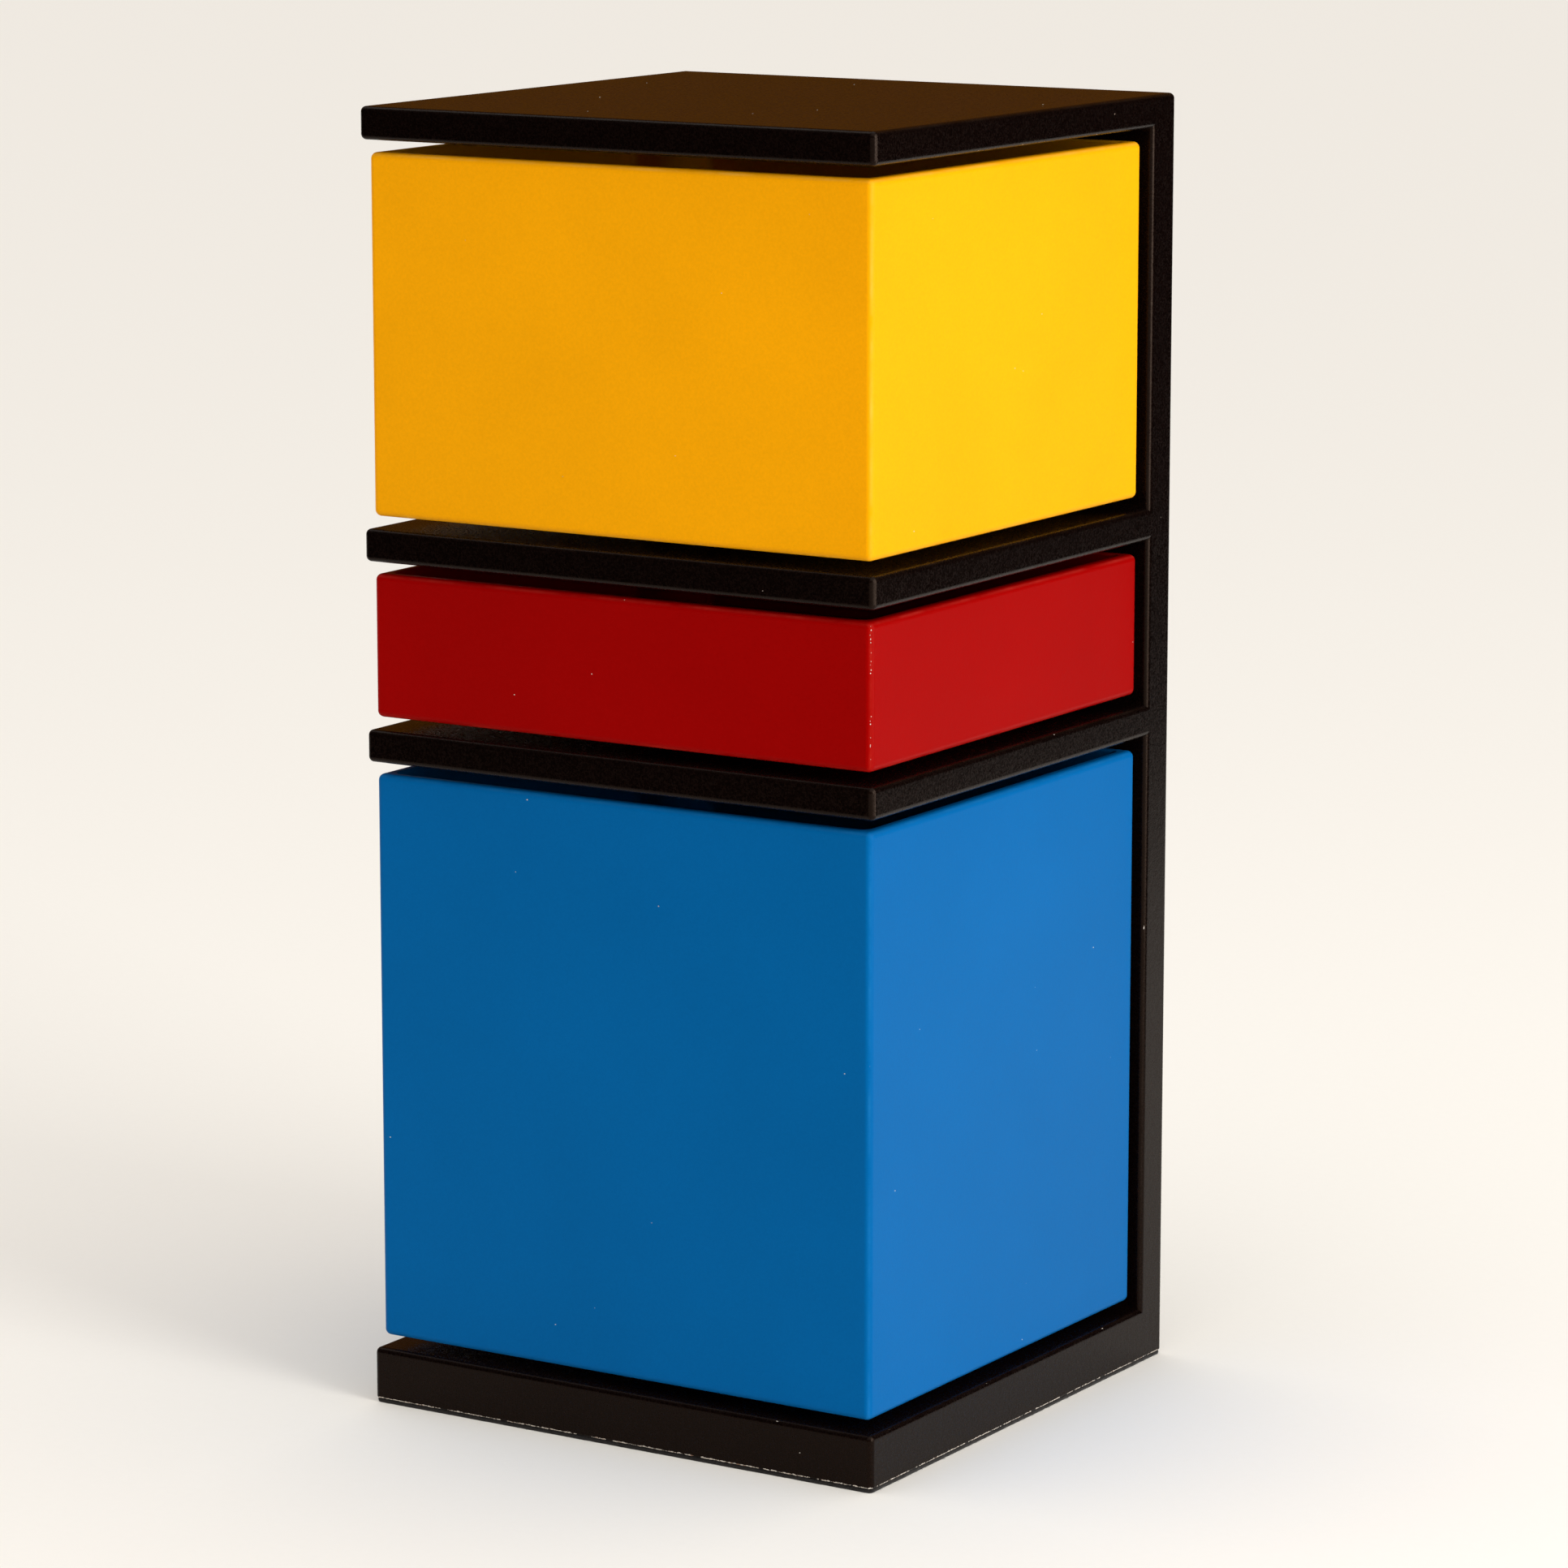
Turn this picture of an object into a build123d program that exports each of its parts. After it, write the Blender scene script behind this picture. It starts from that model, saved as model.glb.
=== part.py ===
from build123d import *
import os

# Desk tower with swing-out boxes: a lacquered comb-shaped stand (base, two shelves and a top on one
# back panel, open at both sides) holds three open-topped boxes, one in each bay. A steel rod runs
# up through the back left corner of the whole tower, and each box turns on it, out to the left.
#
# Millimetres. +Z is up, -Y is the front, +X is the right-hand side as seen from the front. The
# origin is the middle of the footprint, on the surface that the tower stands on.

# The stand's boards
stand_width = 72.0
stand_depth = 71.0
pad_thickness = 0.5
base_thickness = 6.5
lower_shelf_thickness = 4.0
upper_shelf_thickness = 4.0
top_thickness = 4.0
back_thickness = 5.7
blue_bay_height = 73.6
red_bay_height = 20.6
yellow_bay_height = 46.8
arris_radius = 0.7
foot_arris_radius = 0.3
pad_inset = 0.15
pad_corner_radius = 0.6

# The stand's glued joints, hidden inside the boards
tongue_shoulder = 0.6
tongue_stop = 4.0
shelf_tongue = 2.0
top_tongue = 1.8
base_tongue = 3.0
panel_tongue_thickness = 2.5
glue_gap = 0.1

# The boxes
box_inset = 0.8
bay_clearance = 1.5
back_clearance = 1.5
box_wall = 1.6
box_floor = 2.0
box_edge_radius = 0.8
rim_inner_radius = 0.3
cavity_corner_radius = 1.0
cavity_floor_radius = 0.8

# The pivot
pivot_offset = 4.5
rod_diameter = 3.0
rod_socket_depth = 2.4
rod_head_diameter = 6.0
rod_head_thickness = 1.6
rod_head_clearance = 0.2
rod_end_chamfer = 0.3
rod_clearance = 0.05
sleeve_wall = 0.6
sleeve_gap = 0.03
boss_wall = 1.8
boss_corner_flat = 0.5
washer_diameter = 7.0
washer_bore_clearance = 0.15
washer_play = 0.1
washer_edge = 0.15

# The stop pads behind the boxes
bumper_diameter = 5.0
bumper_play = 0.1
bumper_edge = 0.3
bumper_side_distance = 11.0

# How far a cutter runs past the face that it cuts, a length well outside the stand, and the most
# that two lengths which are the same can differ by
cut_overshoot = 1.0
far_out = 2 * max(stand_width, stand_depth)
same_length = 1e-3

# Places that follow from the sizes
left = -stand_width / 2
right = stand_width / 2
front = -stand_depth / 2
back = stand_depth / 2
panel_front = back - back_thickness
base_top = pad_thickness + base_thickness
bays = {}
level = base_top
for colour, bay_height, board_above in (
    ("blue", blue_bay_height, lower_shelf_thickness),
    ("red", red_bay_height, upper_shelf_thickness),
    ("yellow", yellow_bay_height, top_thickness),
):
    bays[colour] = (level, level + bay_height)
    level += bay_height + board_above
stand_top = level
top_underside = bays["yellow"][1]
box_left = left + box_inset
box_right = right - box_inset
box_front = front + box_inset
box_back = panel_front - back_clearance
pivot_x = box_left + pivot_offset
pivot_y = box_back - pivot_offset
rod_radius = rod_diameter / 2
rod_bore_radius = rod_radius + rod_clearance
sleeve_radius = rod_bore_radius + sleeve_wall
boss_radius = sleeve_radius + sleeve_gap + boss_wall


def block(low, high):
    """A box from its lowest corner to its highest."""
    corners = list(zip(low, high))
    middle = [(a + b) / 2 for a, b in corners]
    return Pos(*middle) * Box(*[b - a for a, b in corners])


def post(radius, low, high, x=pivot_x, y=pivot_y):
    """A round bar along Z between two heights, on the pivot unless it is told otherwise."""
    return Pos(x, y, (low + high) / 2) * Cylinder(radius, high - low)


def comb():
    """The stand as one outline, with every outer edge rounded and its inner corners left sharp."""
    body = block((left, front, pad_thickness), (right, back, stand_top))
    for low, high in bays.values():
        body -= block((-far_out, -far_out, low), (far_out, panel_front, high))
    outer = [
        edge
        for edge in body.edges()
        if abs(edge.center().Z - pad_thickness) > same_length
        and not (
            abs(edge.center().Y - panel_front) < same_length
            and abs(edge.center().X) < same_length
        )
    ]
    body = fillet(outer, arris_radius)
    return fillet(body.edges().group_by(Axis.Z)[0], foot_arris_radius)


def slice_of(body, low, high, y_low=-far_out, y_high=far_out):
    """What a body has between two heights, and between two depths."""
    return body & block((-far_out, y_low, low), (far_out, y_high, high))


def tongue(y_range, z_range, gap=0.0):
    """A glue tongue that stops short of both sides, or with a gap the groove for it."""
    return block(
        (left + tongue_stop - gap, y_range[0] - gap, z_range[0] - gap),
        (right - tongue_stop + gap, y_range[1] + gap, z_range[1] + gap),
    )


def shelf_tongue_place(low, high):
    """Where a shelf's tongue lies: behind the panel's face, inside the shelf's thickness."""
    return (panel_front, panel_front + shelf_tongue), (low + tongue_shoulder, high - tongue_shoulder)


def panel_tongue_place(low, high):
    """Where the back panel's upper or lower tongue lies, in the middle of its thickness."""
    middle = panel_front + back_thickness / 2
    half = panel_tongue_thickness / 2
    return (middle - half, middle + half), (low, high)


def boards():
    """The stand's five boards, cut out of the comb along their glue lines."""
    whole = comb()
    shelves = {
        "lower_shelf": (bays["blue"][1], bays["red"][0]),
        "upper_shelf": (bays["red"][1], bays["yellow"][0]),
    }
    upper = panel_tongue_place(top_underside, top_underside + top_tongue)
    lower = panel_tongue_place(base_top - base_tongue, base_top)
    panel = slice_of(whole, base_top, top_underside, y_low=panel_front)
    panel += tongue(*upper)
    panel += tongue(*lower)
    made = {
        "base_plate": slice_of(whole, 0, base_top) - tongue(*lower, gap=glue_gap),
        "top_plate": slice_of(whole, top_underside, stand_top) - tongue(*upper, gap=glue_gap),
    }
    for name, (low, high) in shelves.items():
        place = shelf_tongue_place(low, high)
        made[name] = slice_of(whole, low, high, y_high=panel_front) + tongue(*place)
        made[name] -= post(rod_bore_radius, low - cut_overshoot, high + cut_overshoot)
        panel -= tongue(*place, gap=glue_gap)
    head_room = pad_thickness + rod_head_thickness + rod_head_clearance
    made["base_plate"] -= post(rod_bore_radius, 0, base_top + cut_overshoot)
    made["base_plate"] -= post(rod_head_diameter / 2 + rod_head_clearance, 0, head_room)
    made["top_plate"] -= post(
        rod_bore_radius, top_underside - cut_overshoot, top_underside + rod_socket_depth
    )
    made["back_panel"] = panel
    return made


def base_pad():
    """The thin pad under the base, which also hides the rod's head."""
    outline = Rectangle(stand_width - 2 * pad_inset, stand_depth - 2 * pad_inset)
    outline = fillet(outline.vertices(), pad_corner_radius)
    return extrude(outline, pad_thickness)


def pivot_rod():
    """The rod, pushed up from below until its head stops in the base's counterbore."""
    head_top = pad_thickness + rod_head_clearance + rod_head_thickness
    tip = top_underside + rod_socket_depth - rod_head_clearance
    shank = post(rod_radius, head_top, tip)
    shank = chamfer(shank.edges().group_by(Axis.Z)[-1], rod_end_chamfer)
    return shank + post(rod_head_diameter / 2, head_top - rod_head_thickness, head_top)


def closing_bumpers():
    """One stop pad behind each box, on the back panel near its free side."""
    thickness = back_clearance - bumper_play
    pads = []
    for low, high in bays.values():
        place = Pos(right - bumper_side_distance, panel_front - thickness / 2, (low + high) / 2)
        disc = place * Rot(90, 0, 0) * Cylinder(bumper_diameter / 2, thickness)
        pads.append(fillet(disc.edges().group_by(Axis.Y)[0], bumper_edge))
    return Compound(children=pads)


def washer(low, high):
    """A spacing washer round the rod."""
    ring = post(washer_diameter / 2, low, high)
    ring = chamfer(ring.edges().filter_by(GeomType.CIRCLE), washer_edge)
    bore_radius = rod_radius + washer_bore_clearance
    return ring - post(bore_radius, low - cut_overshoot, high + cut_overshoot)


def sleeve(low, high):
    """The bearing tube in the box's corner, as long as the box is high."""
    bore = post(rod_bore_radius, low - cut_overshoot, high + cut_overshoot)
    return post(sleeve_radius, low, high) - bore


def rectangle(x_range, y_range):
    """A flat rectangle between two lengths along X and two along Y."""
    middle = Pos((x_range[0] + x_range[1]) / 2, (y_range[0] + y_range[1]) / 2)
    return middle * Rectangle(x_range[1] - x_range[0], y_range[1] - y_range[0])


def box_outline():
    """The box seen from above. Its hinge corner is round about the rod, so that the gap to the back
    panel stays the same while the box turns."""
    outline = rectangle((box_left, box_right), (box_front, box_back))
    hinge = outline.vertices().sort_by_distance((box_left, box_back, 0))[0]
    outline = fillet(hinge, pivot_offset)
    at_hinge = outline.vertices().sort_by_distance((box_left, box_back, 0))[:2]
    others = [corner for corner in outline.vertices() if corner not in at_hinge]
    return fillet(others, box_edge_radius)


def cavity(low, high):
    """The hollow: inside the walls, round the boss in the hinge corner, and open above. The boss is
    square to the walls, and its free corner is rounded up to a short flat on each side."""
    boss_side = pivot_x + boss_radius
    boss_front = pivot_y - boss_radius
    inside = rectangle(
        (box_left + box_wall, box_right - box_wall),
        (box_front + box_wall, box_back - box_wall),
    )
    inside -= rectangle((box_left, boss_side), (boss_front, box_back))
    hollow = extrude(Pos(0, 0, low) * inside, high - low)
    uprights = hollow.edges().filter_by(Axis.Z).sort_by_distance((boss_side, boss_front, 0))
    hollow = fillet(uprights[0], boss_radius - boss_corner_flat)
    uprights = hollow.edges().filter_by(Axis.Z).sort_by_distance((boss_side, boss_front, 0))
    hollow = fillet(uprights[2:], cavity_corner_radius)
    return fillet(hollow.edges().group_by(Axis.Z)[0], cavity_floor_radius)


def box_shell(low, high):
    """An open-topped box with thin walls, a floor, and a boss bored for its sleeve."""
    shell = extrude(Pos(0, 0, low) * box_outline(), high - low)
    ends = shell.edges().group_by(Axis.Z)
    shell = fillet(ends[0] + ends[-1], box_edge_radius)
    shell -= cavity(low + box_floor, high + cut_overshoot)
    wall_band = box_edge_radius + same_length
    rim = [
        edge
        for edge in shell.edges().group_by(Axis.Z)[-1]
        if box_left + wall_band < edge.center().X < box_right - wall_band
        and box_front + wall_band < edge.center().Y < box_back - wall_band
    ]
    shell = fillet(rim, rim_inner_radius)
    boss_bore = post(sleeve_radius + sleeve_gap, low - cut_overshoot, high + cut_overshoot)
    return shell - boss_bore


nodes = boards()
nodes["base_pad"] = base_pad()
nodes["pivot_rod"] = pivot_rod()
nodes["closing_bumpers"] = closing_bumpers()
for colour, (bay_low, bay_high) in bays.items():
    box_low = bay_low + bay_clearance
    box_high = bay_high - bay_clearance
    nodes[f"{colour}_box"] = box_shell(box_low, box_high)
    nodes[f"{colour}_sleeve"] = sleeve(box_low, box_high)
    nodes[f"{colour}_lower_washer"] = washer(bay_low, box_low - washer_play)
    nodes[f"{colour}_upper_washer"] = washer(box_high, bay_high - washer_play)

os.makedirs("parts", exist_ok=True)
for name, shape in nodes.items():
    export_step(shape, f"parts/{name}.step")
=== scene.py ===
import math

import bmesh
import bpy
from bpy.props import (
    FloatProperty,
    FloatVectorProperty,
    IntProperty,
    PointerProperty,
)
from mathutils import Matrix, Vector, noise


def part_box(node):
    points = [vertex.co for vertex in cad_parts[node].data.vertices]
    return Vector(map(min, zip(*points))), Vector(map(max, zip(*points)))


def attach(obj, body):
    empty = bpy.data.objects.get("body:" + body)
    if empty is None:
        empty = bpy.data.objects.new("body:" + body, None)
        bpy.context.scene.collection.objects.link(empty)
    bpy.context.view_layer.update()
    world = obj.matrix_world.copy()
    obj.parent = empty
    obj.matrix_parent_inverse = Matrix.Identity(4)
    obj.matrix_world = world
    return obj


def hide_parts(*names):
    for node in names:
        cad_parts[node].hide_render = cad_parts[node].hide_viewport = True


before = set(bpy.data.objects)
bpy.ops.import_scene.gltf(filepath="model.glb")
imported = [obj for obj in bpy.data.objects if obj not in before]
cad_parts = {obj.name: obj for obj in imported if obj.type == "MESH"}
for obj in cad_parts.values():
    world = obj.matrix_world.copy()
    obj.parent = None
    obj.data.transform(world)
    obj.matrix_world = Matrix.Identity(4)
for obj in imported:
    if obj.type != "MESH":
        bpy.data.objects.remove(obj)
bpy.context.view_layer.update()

bl_info = {
    "name": "Desk tower with swing-out boxes", "version": (1, 0, 0), "blender": (4, 5, 0),
    "location": "3D View > Sidebar > Desk Tower",
    "description": "Gives the desk tower its lacquers, hardware, felt, wear and stage",
    "category": "Object"
}

MM = 0.001
COLOURS = ("blue", "red", "yellow")
BOARDS = ("base_plate", "lower_shelf", "upper_shelf", "top_plate", "back_panel")

# Kinds of node that are used again and again.
MATH, VECTOR, NOISE = "ShaderNodeMath", "ShaderNodeVectorMath", "ShaderNodeTexNoise"
RANGE, BUMP, RAMP = "ShaderNodeMapRange", "ShaderNodeBump", "ShaderNodeValToRGB"
SPLIT, JOIN = "ShaderNodeSeparateXYZ", "ShaderNodeCombineXYZ"
MOVE, INSTANCE = "GeometryNodeSetPosition", "GeometryNodeInstanceOnPoints"
RANDOM = "FunctionNodeRandomValue"

# Hardware and stand.
WASHER_BORE = 1.65 * MM  # Radius; clears the rod.
COVE_INSET = 0.7 * MM  # Keeps the coves short of the panel's rounded sides.
SOFT_ANGLE = math.radians(40)  # Grown pieces shade smooth below this.
SHEET_ANGLE = math.radians(50)

# How far from the pivot's axis an arris starts to show rubbing, painted highlight and chips, and
# shows them in full.
HINGE_CLEAR = (4.7 * MM, 5.6 * MM)
RUB_AND_HIGHLIGHT_RANGE = (0.38, 0.66)  # Of the noise that patches the rubbing and painted highlight.
ARRIS_RANGE = (0.92, 0.74)  # Of the normal's largest part, from flat to arris.

# Felt.
FELT_CORNER = 0.6 * MM
FELT_STEP = 0.4 * MM
# The cut edge from the bottom up: share of the thickness, and how far it bulges, in wanders.
FELT_SECTION = ((0.0, -0.5), (0.25, 0.5), (0.55, 0.8), (0.8, 0.3), (1.0, -0.6))
FELT_SEED = 3
LYING = 0.01 * MM  # Height of the fibres that lie on the table.

# Wear.
FLAKE_THICKNESS = 0.012 * MM
TEAR = 0.06 * MM  # How far a chip's outline strays.
TEAR_WIDTH = 0.12 * MM
CHIP_RUN = 3 * MM
OUTER = 0.02 * MM  # A face nearer than this to its box's sides is an outer one.
FOOT_HEIGHT = 0.12 * MM  # Of the line of chips above the base's lower face.
FOOT_CORNER = 0.7 * MM
FOOT_STEP = 4 * MM
CORNER_INSET = 0.24 * MM  # Puts the line of chips on the box's rounded corner.
CORNER_ENDS = (0.6 * MM, 0.4 * MM)  # Clear of the box's lower and upper arrises.

# Stage, in degrees from the front towards the right and in metres.
LIT_POINT = (0.0, 0.0, 0.08)
KEY_TURN, KEY_RISE, KEY_DISTANCE = 79, 14, 0.85
KEY_SIZE = (0.35, 0.6)
SENSOR = 36.0  # Millimetres.
HORIZON_RISE = (0.15, 0.8)  # Between which sines of height the dome goes from horizon to zenith.
BLACK = "0A0403"
# Each card's lowest and highest corner.
RIGHT_FLAG = ((0.2, 0.06, 0.0), (0.2, 1.1, 0.9))
FRONT_FLAG = ((-1.1, -0.2, 0.0), (-0.02, -0.2, 0.9))
STRIP_CARD = ((0.15, 0.03, 0.03), (0.2, 0.01, 0.34))
WALL_CARD = ((-0.95, 0.12, 0.17), (0.25, 0.87, 1.1))


def linear(hex_colour):
    """The linear red, green and blue of an sRGB hex colour."""
    channels = [int(hex_colour[i : i + 2], 16) / 255 for i in (0, 2, 4)]
    return tuple(c / 12.92 if c <= 0.04045 else ((c + 0.055) / 1.055) ** 2.4 for c in channels)


def colour_property(name, hex_colour, description):
    """A colour that the user can change."""
    return FloatVectorProperty(
        name=name, description=description, default=linear(hex_colour), size=3, min=0.0, max=1.0,
        subtype="COLOR"
    )


def length_property(name, millimetres, description):
    """A length that the user can change."""
    return FloatProperty(
        name=name, description=description, default=millimetres * MM, min=0.0, unit="LENGTH"
    )


class LacquerSettings(bpy.types.PropertyGroup):
    """The sprayed lacquers of the stand and the boxes."""

    black: colour_property("Black", BLACK, "Body colour of the stand's lacquer")
    yellow: colour_property("Yellow", "F8A803", "Body colour of the top box's lacquer")
    red: colour_property("Red", "960000", "Body colour of the middle box's lacquer")
    blue: colour_property("Blue", "0060A2", "Body colour of the bottom box's lacquer")
    undercoat: colour_property("Undercoat", "D9D0C4", "Primer that shows where lacquer is chipped")
    peel: length_property("Orange peel", 0.9, "Width of the lacquer's low ripples")
    grain: length_property("Grain", 0.26, "Width of the lacquer's matting grains")


class HardwareSettings(bpy.types.PropertyGroup):
    """The washers, stop pads and lacquer coves."""

    washer_edge: length_property("Washer edge", 0.2, "Radius of the washers' moulded edges")
    washer_play: length_property("Washer play", 0.02, "How far a washer stays clear of its solid")
    pad_fullness: FloatProperty(
        name="Pad fullness",
        description="From 2, a half ellipse, to large numbers, a flat-topped disc", default=3.2,
        min=2.0, max=8.0
    )
    cove: length_property("Cove", 0.4, "Size of the lacquer pooled in the stand's inner corners")


class FeltSettings(bpy.types.PropertyGroup):
    """The felt under the base."""

    edge_wander: length_property("Edge wander", 0.07, "How far the cut edge wanders")
    fibre: length_property("Fibre", 0.32, "Length of the loose fibres at the cut edge")
    fibre_width: length_property("Fibre width", 0.022, "Width of one fibre")
    fibres: FloatProperty(
        name="Fibres", description="Loose fibres on a square millimetre of edge", default=7.0,
        min=0.0
    )


class WearSettings(bpy.types.PropertyGroup):
    """Chips along the arrises and dust caught in the lacquer."""

    foot_chip: length_property("Foot chip", 0.17, "Usual width of a chip along the base's foot")
    corner_chip: length_property("Corner chip", 0.1, "Usual width of a chip on an upright arris")
    speck: length_property("Speck", 0.1, "Usual width of a dust speck caught in the lacquer")
    specks: FloatProperty(
        name="Specks", description="Dust specks on a square decimetre", default=16.0, min=0.0
    )
    seed: IntProperty(name="Seed", description="Changes where the chips and specks lie", default=7)


class StageSettings(bpy.types.PropertyGroup):
    """The floor, the lights and the camera."""

    floor: colour_property("Floor", "F0ECE4", "Colour of the paper floor")
    floor_size: FloatProperty(
        name="Floor size", description="Width of the floor", default=24.0, unit="LENGTH"
    )
    key_power: FloatProperty(
        name="Key power", description="Power of the key softbox", default=5.4, unit="POWER"
    )
    zenith: colour_property("Zenith", "FFFFFF", "Light of the dome straight up")
    horizon: colour_property("Horizon", "52300F", "Light of the dome at the horizon")
    strip: colour_property("Strip", "FFF4EA", "Light of the strip that the upright arrises reflect")
    strip_power: FloatProperty(
        name="Strip power", description="Strength of the strip's light", default=9.0, min=0.0
    )
    wall: colour_property("Wall", "6C3F08", "Warm wall that the top reflects")
    dome_power: FloatProperty(
        name="Dome power", description="Brightness of the dome", default=1.3, min=0.0
    )
    lens: FloatProperty(
        name="Lens", description="Focal length", default=139.31, subtype="DISTANCE_CAMERA"
    )
    camera_place: FloatVectorProperty(
        name="Camera", description="Where it stands", default=(0.3928, -0.6218, 0.2149),
        unit="LENGTH"
    )
    camera_turn: FloatVectorProperty(
        name="Camera turn", description="Its rotation",
        default=(math.radians(79.291), 0.0, math.radians(32.181)), subtype="EULER"
    )


def add(tree, kind, inputs=(), stops=(), **settings):
    """Adds a node with its settings. The inputs are given in order or by name, each as a value or
    as what it is linked to: a socket, or a node, which stands for its first output. A ramp's
    stops are positions and colours."""
    node = tree.nodes.new(kind)
    for name, value in settings.items():
        setattr(node, name, value)
    for element, (position, colour) in zip(node.color_ramp.elements if stops else (), stops):
        element.position, element.color = position, (*colour, 1.0)
    for key, value in inputs.items() if isinstance(inputs, dict) else enumerate(inputs):
        socket = node.inputs[key]
        if isinstance(value, bpy.types.Node):
            value = value.outputs[0]
        if isinstance(value, bpy.types.NodeSocket):
            tree.links.new(value, socket)
        elif socket.type == "RGBA":
            socket.default_value = (*value, 1.0)
        else:
            socket.default_value = value
    return node


# Materials


def new_material(name):
    """An empty node material. Returns it with its tree and its pieces' own coordinates."""
    material = bpy.data.materials.new(name)
    material.use_nodes = True
    tree = material.node_tree
    tree.nodes.clear()
    return material, tree, add(tree, "ShaderNodeTexCoord").outputs["Object"]


def surface(material, inputs, shader="ShaderNodeBsdfPrincipled"):
    """Ends a material's tree in a shader with these inputs, and returns the material."""
    tree = material.node_tree
    add(tree, "ShaderNodeOutputMaterial", {"Surface": add(tree, shader, inputs)})
    return material


def lacquer(name, colour, rub_and_highlight_colour, rub_and_highlight, ior, gloss_tint, roughness, speckle, texture, chip_share):
    """A pigmented lacquer, sprayed and left satin. The spray leaves low ripples, the matting grains
    a fine speckle, and handling chips the arrises down to the undercoat. The arrises are also mixed
    paler, partly as rubbing and partly as a painted highlight."""
    settings = bpy.context.scene.tower_lacquer
    material, tree, place = new_material(name)
    # Each texture has a width, a detail and a roughness. Real matting grains are about 0.03 mm
    # wide; they are drawn wider so that they show. A pass of the spray gun is about 25 mm wide and
    # leaves the film a little uneven. The paler arris, part rubbing and part painted highlight,
    # comes and goes over some millimetres. Flakes are lost 0.2 to 0.6 mm across.
    textures = (
        (settings.peel, 2.0, 0.45), (settings.grain, 2.0, 0.6), (25 * MM, 3.0, 0.5),
        (7 * MM, 5.0, 0.7), (1.3 * MM, 4.0, 0.65)
    )
    peel, grain, cloud, rub_and_highlight_patches, flakes = (
        add(tree, NOISE, {"Vector": place, "Scale": 1 / wide, "Detail": detail, "Roughness": rough})
        for wide, detail, rough in textures
    )
    normal = add(tree, "ShaderNodeTexCoord").outputs["Normal"]
    # An arris is where the surface turns away from all three of the piece's own directions.
    facing = add(tree, VECTOR, (normal,), operation="ABSOLUTE")
    parts = add(tree, SPLIT, (facing,)).outputs
    sides = add(tree, MATH, (parts[0], parts[1]), operation="MAXIMUM")
    flat = add(tree, MATH, (sides, parts[2]), operation="MAXIMUM")
    arris = add(tree, RANGE, (flat, *ARRIS_RANGE, 0.0, 1.0))
    # The hinge corners are round by design and get no rubbing, painted highlight or chips.
    pivot = (*pivot_axis(), 0.0)
    level = add(tree, VECTOR, (place, (1.0, 1.0, 0.0)), operation="MULTIPLY")
    reach = add(tree, VECTOR, (level, pivot), operation="DISTANCE")
    clear = add(tree, RANGE, (reach.outputs["Value"], *HINGE_CLEAR))
    edge = add(tree, MATH, (arris, clear), operation="MULTIPLY")

    tone = add(tree, RANGE, (grain, 0.3, 0.7, 1.0 - speckle, 1.0 + speckle))
    film = add(tree, RANGE, (cloud, 0.3, 0.7, 0.965, 1.035))
    value = add(tree, MATH, (tone, film), operation="MULTIPLY")
    body = add(tree, "ShaderNodeHueSaturation", {"Value": value, "Color": colour})
    # Painted highlight and rubbing: the arrises are mixed towards a paler colour in patches, which
    # partly stands in for the light they catch.
    uneven = add(tree, RANGE, (rub_and_highlight_patches, *RUB_AND_HIGHLIGHT_RANGE, 0.0, rub_and_highlight))
    rub_and_highlight_mask = add(tree, MATH, (edge, uneven), operation="MULTIPLY")
    rub_and_highlight_mix = add(tree, "ShaderNodeMix", {0: rub_and_highlight_mask, 6: body, 7: rub_and_highlight_colour}, data_type="RGBA")
    # Flakes are only lost where the film is thin on an arris.
    thin = add(tree, MATH, (flakes, edge), operation="MULTIPLY")
    chipped = add(tree, RANGE, (thin, 0.72 - chip_share, 0.75 - chip_share))
    final = add(
        tree, "ShaderNodeMix", {0: chipped, 6: rub_and_highlight_mix.outputs[2], 7: settings.undercoat},
        data_type="RGBA"
    )
    matt = add(tree, RANGE, (grain, 0.3, 0.7, roughness - texture, roughness + texture))
    ripple = add(tree, MATH, (peel, grain), operation="ADD")
    bump = add(tree, BUMP, {"Height": ripple, "Strength": 0.4, "Distance": texture * 0.3 * MM})
    return surface(
        material,
        {
            "Base Color": final.outputs[2], "Roughness": matt, "Normal": bump, "IOR": ior,
            "Specular Tint": gloss_tint
        }
    )


def drawn_steel():
    """Bright drawn steel rod. Drawing leaves fine lines along its length."""
    material, tree, place = new_material("drawn_steel")
    # Draw lines are about 0.1 mm apart and tens of millimetres long.
    drawn = add(
        tree, "ShaderNodeMapping",
        {"Vector": place, "Scale": (1 / (0.1 * MM), 1 / (0.1 * MM), 1 / (30 * MM))}
    )
    lines = add(tree, NOISE, {"Vector": drawn, "Scale": 1.0, "Detail": 3.0})
    haze = add(tree, NOISE, {"Vector": place, "Scale": 1 / (4 * MM)})
    tint = add(tree, RAMP, {"Fac": haze}, stops=((0.0, linear("9C9A96")), (1.0, linear("C9C7C1"))))
    rough = add(tree, RANGE, (lines, 0.3, 0.7, 0.2, 0.38))
    bump = add(tree, BUMP, {"Height": lines, "Strength": 0.3, "Distance": 0.01 * MM})
    return surface(
        material, {"Base Color": tint, "Metallic": 1.0, "Roughness": rough, "Normal": bump}
    )


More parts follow.
